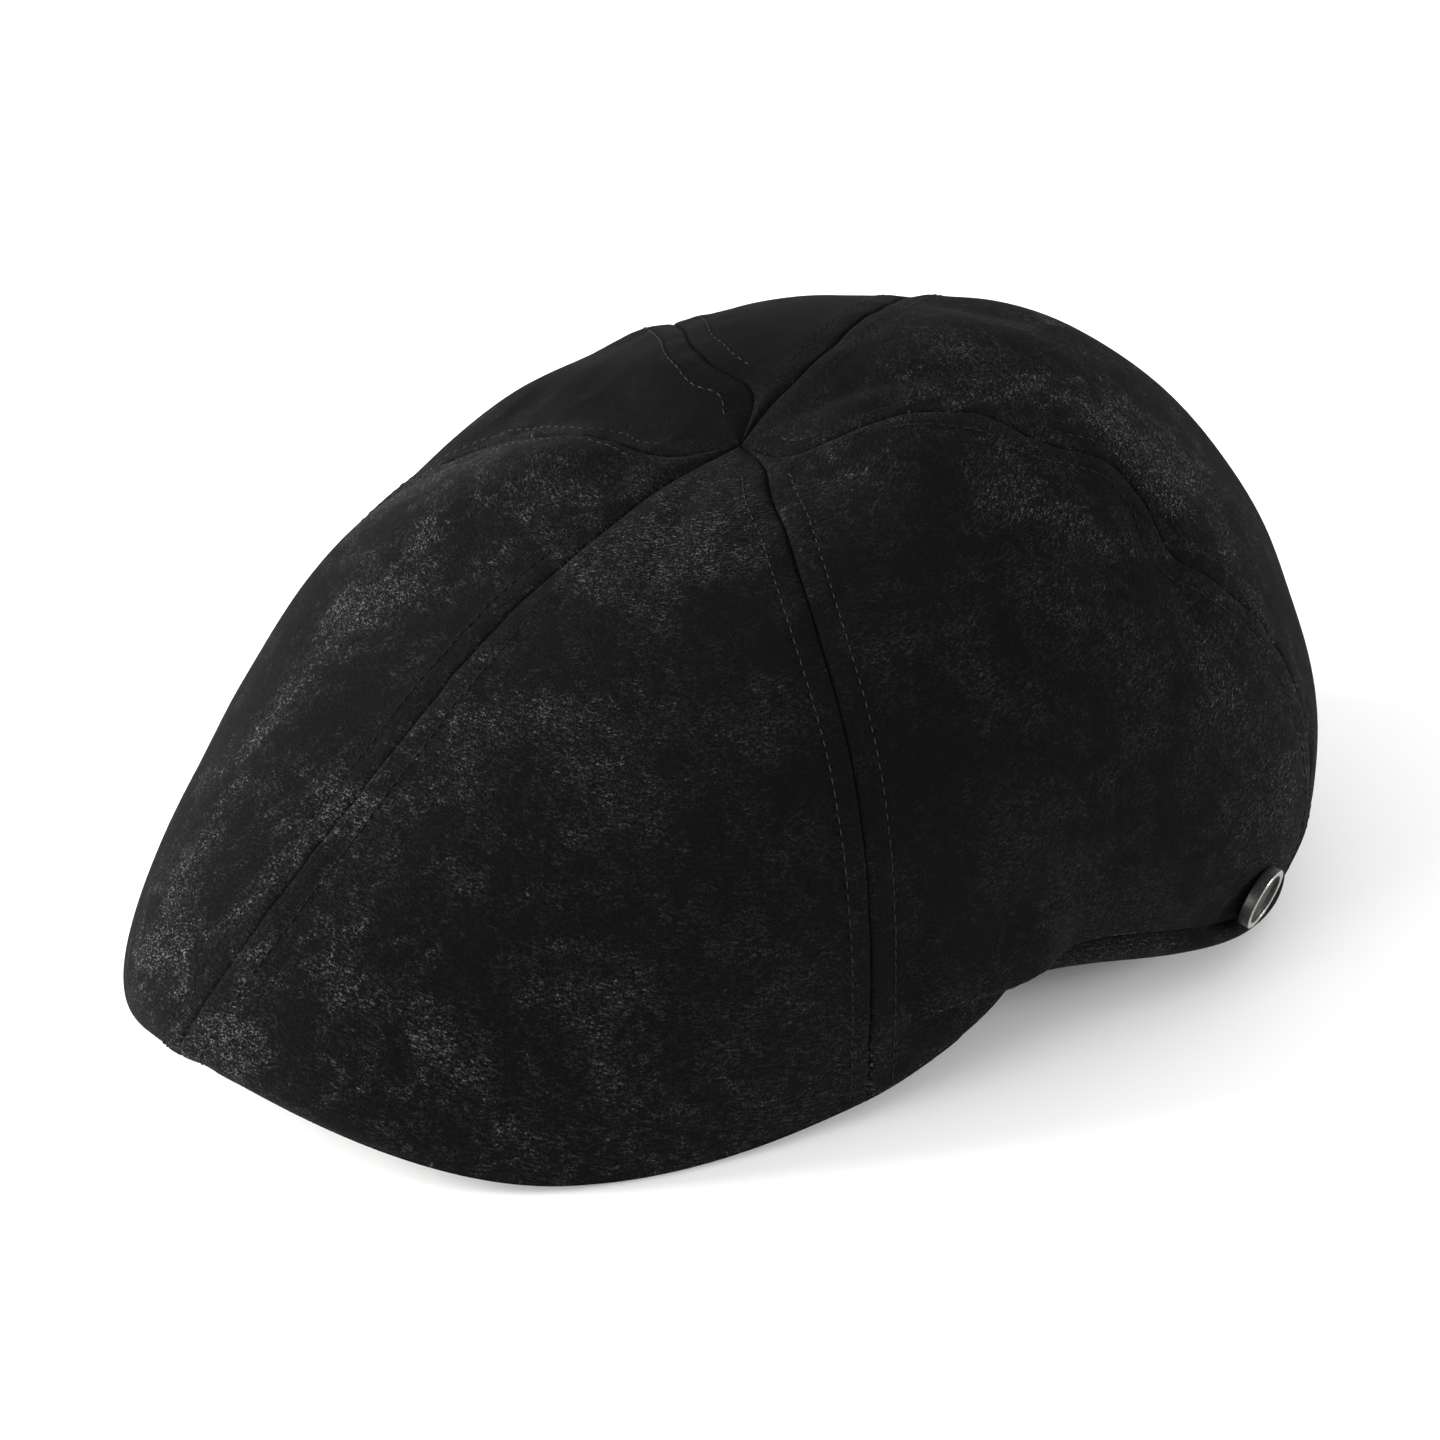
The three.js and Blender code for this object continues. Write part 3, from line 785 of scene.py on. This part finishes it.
def sew(cap, name, paths):
    """Copies of one stitch in a row along each path, as one piece of thread."""
    places, corners = one_stitch(cap)
    vertices, faces = [], []
    for points, normals in paths:
        lengths = path_lengths(points)
        count = int(lengths[-1] / cap.stitch_pitch)
        middles = (np.arange(count) + 0.5) * lengths[-1] / count

        def at(place, values):
            return np.stack([np.interp(place, lengths, values[:, axis]) for axis in range(3)], -1)

        ahead = unit(at(middles + cap.stitch_pitch / 2, points) - at(middles - cap.stitch_pitch / 2, points))
        side = unit(np.cross(ahead, at(middles, normals)))
        up = np.cross(side, ahead)
        middle = at(middles, points)
        for index in range(count):
            start = len(vertices) * len(places)
            vertices.append(middle[index] + places @ np.stack([side[index], ahead[index], up[index]]))
            faces += [[start + corner for corner in face] for face in corners]
    mesh = bpy.data.meshes.new(name)
    mesh.from_pydata(np.concatenate(vertices) + np.array(crown_middle(cap)), [], faces)
    piece = bpy.data.objects.new(name, mesh)
    bpy.context.collection.objects.link(piece)
    finish_piece(piece, (shared("black_polyester_thread", polyester_thread),), crease=60)
    return piece


def close_ends():
    """Fills the open ends of the piece in edit mode."""
    bpy.ops.mesh.select_mode(type="EDGE")
    bpy.ops.mesh.select_all(action="DESELECT")
    bpy.ops.mesh.select_non_manifold()
    bpy.ops.mesh.edge_face_add()


def ring_piece(cap, name, sections, rim, closed_round):
    """A piece from like sections side by side, each a closed loop whose last point is its first.

    The rim is the point of a section whose path measures the cloth along the piece.
    """
    lengths = path_lengths(sections[:, rim])
    around = np.concatenate([np.zeros((len(sections), 1)),
                             np.cumsum(np.linalg.norm(np.diff(sections, axis=1), axis=-1), axis=1)], axis=1)
    uv = np.stack([np.broadcast_to(lengths[:, None], around.shape), around], -1)
    piece = grid_piece(cap, name, sections, uv)
    edit(piece, lambda: bpy.ops.mesh.remove_doubles(threshold=0.00002))
    if not closed_round:
        edit(piece, close_ends)
    edit(piece, lambda: bpy.ops.mesh.normals_make_consistent(inside=False))
    return piece


def arc(middle_out, middle_up, radius, start, end, steps):
    """Reach and height of points round an arc, angles in degrees from outwards to upwards."""
    turn = np.radians(np.linspace(start, end, steps))
    return [(middle_out + radius * np.cos(step), middle_up + radius * np.sin(step)) for step in turn]


class CAP_OT_bill(bpy.types.Operator):
    """Suede-covered bill under the front gores, with a rounded edge and a row of stitches beneath"""

    bl_idname = "cap.bill"
    bl_label = "Bill"

    def execute(self, context):
        cap = context.scene.cap_sizes
        angles = np.linspace(-cap.bill_half_angle, cap.bill_half_angle, 200)
        edge, low = foot_reach(cap, angles), rim_height(cap, angles)
        edge = edge - END_DRAWN_IN * smooth(np.abs(angles), cap.bill_half_angle - END_ANGLE, cap.bill_half_angle)
        inside, seat = band_reach(cap, angles) + cap.seam_gap, band_seat(cap, angles)
        bead = cap.bill_bead * BEAD_SHARE
        outline = [(inside, seat)]
        for share in np.linspace(0, 1, UNDER_STEPS)[1:]:
            outline.append((inside + (edge - 2 * bead - inside) * share, seat + (low - seat) * share))
        outline += arc(edge - bead, low + bead, bead, -90, 75, 9)
        neck = edge - cap.cloth_wall - 3 * cap.seam_gap
        outline.append((neck, low + cap.bill_bead + cap.seam_gap))
        top = low + cap.bill_thickness * EDGE_SHARE
        for share in np.linspace(0, 1, 20):
            outline.append((neck + (inside - neck) * share, top + (seat + cap.bill_thickness - top) * share))
        outline.append((inside, seat))
        sections = np.stack([turned(angles, out, up) for out, up in outline], 1)
        piece = ring_piece(cap, "suede_bill", sections, UNDER_STEPS, False)
        finish_piece(piece, (shared("brushed_black_suede", brushed_suede),), ["bill"], 50)
        row = sections[3:-3, STITCH_STEP]
        out = sections[4:-4, STITCH_STEP + 1] - sections[4:-4, STITCH_STEP - 1]
        below = np.cross(out, row[2:] - row[:-2])
        sew(cap, "bill_stitching", [(row[1:-1], unit(below * -np.sign(below[:, 2:])))])
        return {"FINISHED"}


class CAP_OT_headband(bpy.types.Operator):
    """Headband: a folded strip, suede outside where it shows below the gores and twill inside"""

    bl_idname = "cap.headband"
    bl_label = "Headband"

    def execute(self, context):
        cap = context.scene.cap_sizes
        angles = np.linspace(-180, 180, 361)
        out, seat = band_reach(cap, angles), band_seat(cap, angles)
        fold = cap.band_wall / 2
        behind = smooth(np.abs(angles), cap.bill_half_angle + 1, cap.bill_half_angle + 14)
        outline = []
        wall_steps = 30
        for share in np.linspace(0, 1, wall_steps):
            height = cap.band_height - fold - (cap.band_height - 2 * fold) * share
            puff = np.sin(np.pi * np.clip(height / (cap.band_strip * 1.15), 0, 1)) ** 0.8
            outline.append((out + cap.strip_puff * puff * behind, seat + height))
        outline += arc(out - fold, seat + fold, fold, 0, -180, 9)[1:-1]
        for share in np.linspace(0, 1, wall_steps):
            height = fold + (cap.band_height - 2 * fold) * share
            outline.append((out - cap.band_wall, seat + height))
        outline += arc(out - fold, seat + cap.band_height - fold, fold, 180, 0, 9)[1:]
        sections = np.stack([turned(angles, reach, height) for reach, height in outline], 1)
        piece = ring_piece(cap, "headband_strip", sections, wall_steps, True)
        finish_piece(piece, (shared("black_cotton_twill", twill), shared("brushed_black_suede", brushed_suede)),
                     ["headband"], 50)
        middle = crown_middle(cap)
        for face in piece.data.polygons:
            outward = Vector((face.center.x - middle.x, face.center.y - middle.y, 0)).normalized()
            if face.normal.dot(outward) > 0.1 or face.normal.z < -0.3:
                face.material_index = 1
        return {"FINISHED"}


class CAP_OT_badge(bpy.types.Operator):
    """Plain round badge with a raised rim on the left back gore"""

    bl_idname = "cap.badge"
    bl_label = "Badge"

    def execute(self, context):
        cap = context.scene.cap_sizes
        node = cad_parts["badge"]
        places = np.array([tuple(vertex.co) for vertex in node.data.vertices])
        middle = places.mean(0)
        axis = Vector(np.linalg.svd(places - middle)[2][2])
        outward = Vector(middle) - crown_middle(cap)
        outward.z = 0
        if axis.dot(outward) < 0:
            axis.negate()
        radius = cap.badge_diameter / 2
        select_none()
        bpy.ops.mesh.primitive_cylinder_add(vertices=96, radius=radius, depth=cap.badge_thickness)
        piece = context.active_object
        piece.name = piece.data.name = "metal_badge"
        select_parts(piece, "FACE")
        for face in piece.data.polygons:
            face.select = face.normal.z > 0.99
        bpy.ops.object.mode_set(mode="EDIT")
        bpy.ops.mesh.inset(thickness=cap.badge_rim)
        for inset, rise in FIELD_STEPS:
            bpy.ops.mesh.inset(thickness=inset, depth=rise)
        bpy.ops.object.mode_set(mode="OBJECT")
        for face in piece.data.polygons:
            if face.center.xy.length < radius - cap.badge_rim - 0.3 * MM:
                face.material_index = 1
            elif face.normal.z > 0.9:
                face.material_index = 2
        apply_modifier(piece, "BEVEL", width=BADGE_BEVEL, segments=3, limit_method="ANGLE",
                       angle_limit=math.radians(35), material=2)
        axis.rotate(Matrix.Rotation(math.radians(cap.badge_tilt), 3, "Z"))
        turn = axis.to_track_quat("Z", "Y").to_matrix().to_4x4()
        piece.data.transform(Matrix.Translation(Vector(middle) + axis * BADGE_OFFSET) @ turn)
        casting = shared("gunmetal_casting", gunmetal, "gunmetal_casting", "#3f3e3b", "#2c2b29", 0.45)
        field = shared("gunmetal_field", gunmetal, "gunmetal_field", "#2a2825", "#1d1b19", 0.5)
        # The rim's top and its bevelled edges take light metal: plating worn off there, and a painted highlight along
        # the rim's edges
        edges = shared("gunmetal_worn_edge_and_highlight", gunmetal, "gunmetal_worn_edge_and_highlight", "#a9a8a4", "#8b8a86", 0.25)
        finish_piece(piece, (casting, field, edges), ["badge"], 30)
        return {"FINISHED"}


LIGHT_TARGET = (0.0, 0.0, 0.05)
STUDIO_LIGHTS = [
    # name, place, size, power
    ("key_softbox", (-1.2, -1.2, 0.45), 1.0, 98.0),
    ("back_softbox", (-0.6, 1.4, 0.8), 1.2, 3.0),
    ("right_softbox", (1.4, 1.1, 0.3), 0.8, 46.0),
    ("front_softbox", (0.1, -1.9, 0.25), 0.8, 30.0),
]

# Camera: angles in degrees, distance and target in metres, lens and sensor in millimetres, picture in pixels
CAMERA = {
    "azimuth": 48.0,
    "elevation": 26.0,
    "distance": 1.290,
    "target": (0.0, -0.0046, 0.055),
    "roll": 1.3,
    "focal_pixels": 6115.0,
    "picture_side": 1440.0,
    "centre_x": 691.0,
    "centre_y": 690.0,
    "sensor": 36.0,
}


class CAP_OT_stage(bpy.types.Operator):
    """Pale floor, soft studio light and the camera"""

    bl_idname = "cap.stage"
    bl_label = "Stage"

    def execute(self, context):
        select_none()
        bpy.ops.mesh.primitive_plane_add(size=8, location=(0, 0, -0.0003))
        floor = context.active_object
        floor.name = "studio_floor"
        material, tree = new_material("matte_white_paper")
        surface(tree, {"Base Color": linear("#fafaf8"), "Roughness": 0.9})
        floor.data.materials.append(material)
        world = bpy.data.worlds.new("studio_world")
        world.use_nodes = True
        background = world.node_tree.nodes["Background"]
        background.inputs["Color"].default_value = linear("#f7f8fa")
        background.inputs["Strength"].default_value = 0.86
        context.scene.world = world
        for name, place, size, power in STUDIO_LIGHTS:
            select_none()
            bpy.ops.object.light_add(type="AREA", location=place)
            light = context.active_object
            light.name = name
            light.data.energy = power
            light.data.size = size
            aim = Vector(LIGHT_TARGET) - Vector(place)
            light.rotation_euler = aim.to_track_quat("-Z", "Y").to_euler()
        context.scene.view_settings.view_transform = "Standard"
        add_camera(context)
        return {"FINISHED"}


def add_camera(context):
    """The camera at the photograph's viewing angle."""
    turn, lift = math.radians(CAMERA["azimuth"]), math.radians(CAMERA["elevation"])
    back = Vector((math.sin(turn) * math.cos(lift), -math.cos(turn) * math.cos(lift), math.sin(lift)))
    bpy.ops.object.camera_add(location=Vector(CAMERA["target"]) + back * CAMERA["distance"])
    camera = context.active_object
    camera.name = "studio_camera"
    camera.rotation_mode = "QUATERNION"
    camera.rotation_quaternion = (-back).to_track_quat("-Z", "Y") @ Matrix.Rotation(
        math.radians(-CAMERA["roll"]), 3, "Z").to_quaternion()
    side = CAMERA["picture_side"]
    camera.data.sensor_width = CAMERA["sensor"]
    camera.data.lens = CAMERA["focal_pixels"] / side * CAMERA["sensor"]
    camera.data.shift_x = (side / 2 - CAMERA["centre_x"]) / side
    camera.data.shift_y = (CAMERA["centre_y"] - side / 2) / side
    camera.data.clip_end = 20
    context.scene.camera = camera


class CAP_PT_panel(bpy.types.Panel):
    """Buttons for the cap's pieces"""

    bl_label = "Duckbill Cap"
    bl_space_type = "VIEW_3D"
    bl_region_type = "UI"
    bl_category = "Cap"

    def draw(self, context):
        for operator in OPERATORS:
            self.layout.operator(operator.bl_idname)


OPERATORS = (CAP_OT_stage, CAP_OT_gores, CAP_OT_bill, CAP_OT_headband, CAP_OT_badge)
CLASSES = (CapSizes, *OPERATORS, CAP_PT_panel)


def register():
    for cls in CLASSES:
        bpy.utils.register_class(cls)
    bpy.types.Scene.cap_sizes = bpy.props.PointerProperty(type=CapSizes)


def unregister():
    del bpy.types.Scene.cap_sizes
    for cls in reversed(CLASSES):
        bpy.utils.unregister_class(cls)


def main():
    register()
    bpy.ops.cap.stage()
    bpy.ops.cap.gores()
    bpy.ops.cap.bill()
    bpy.ops.cap.headband()
    bpy.ops.cap.badge()


if __name__ == "__main__":
    main()
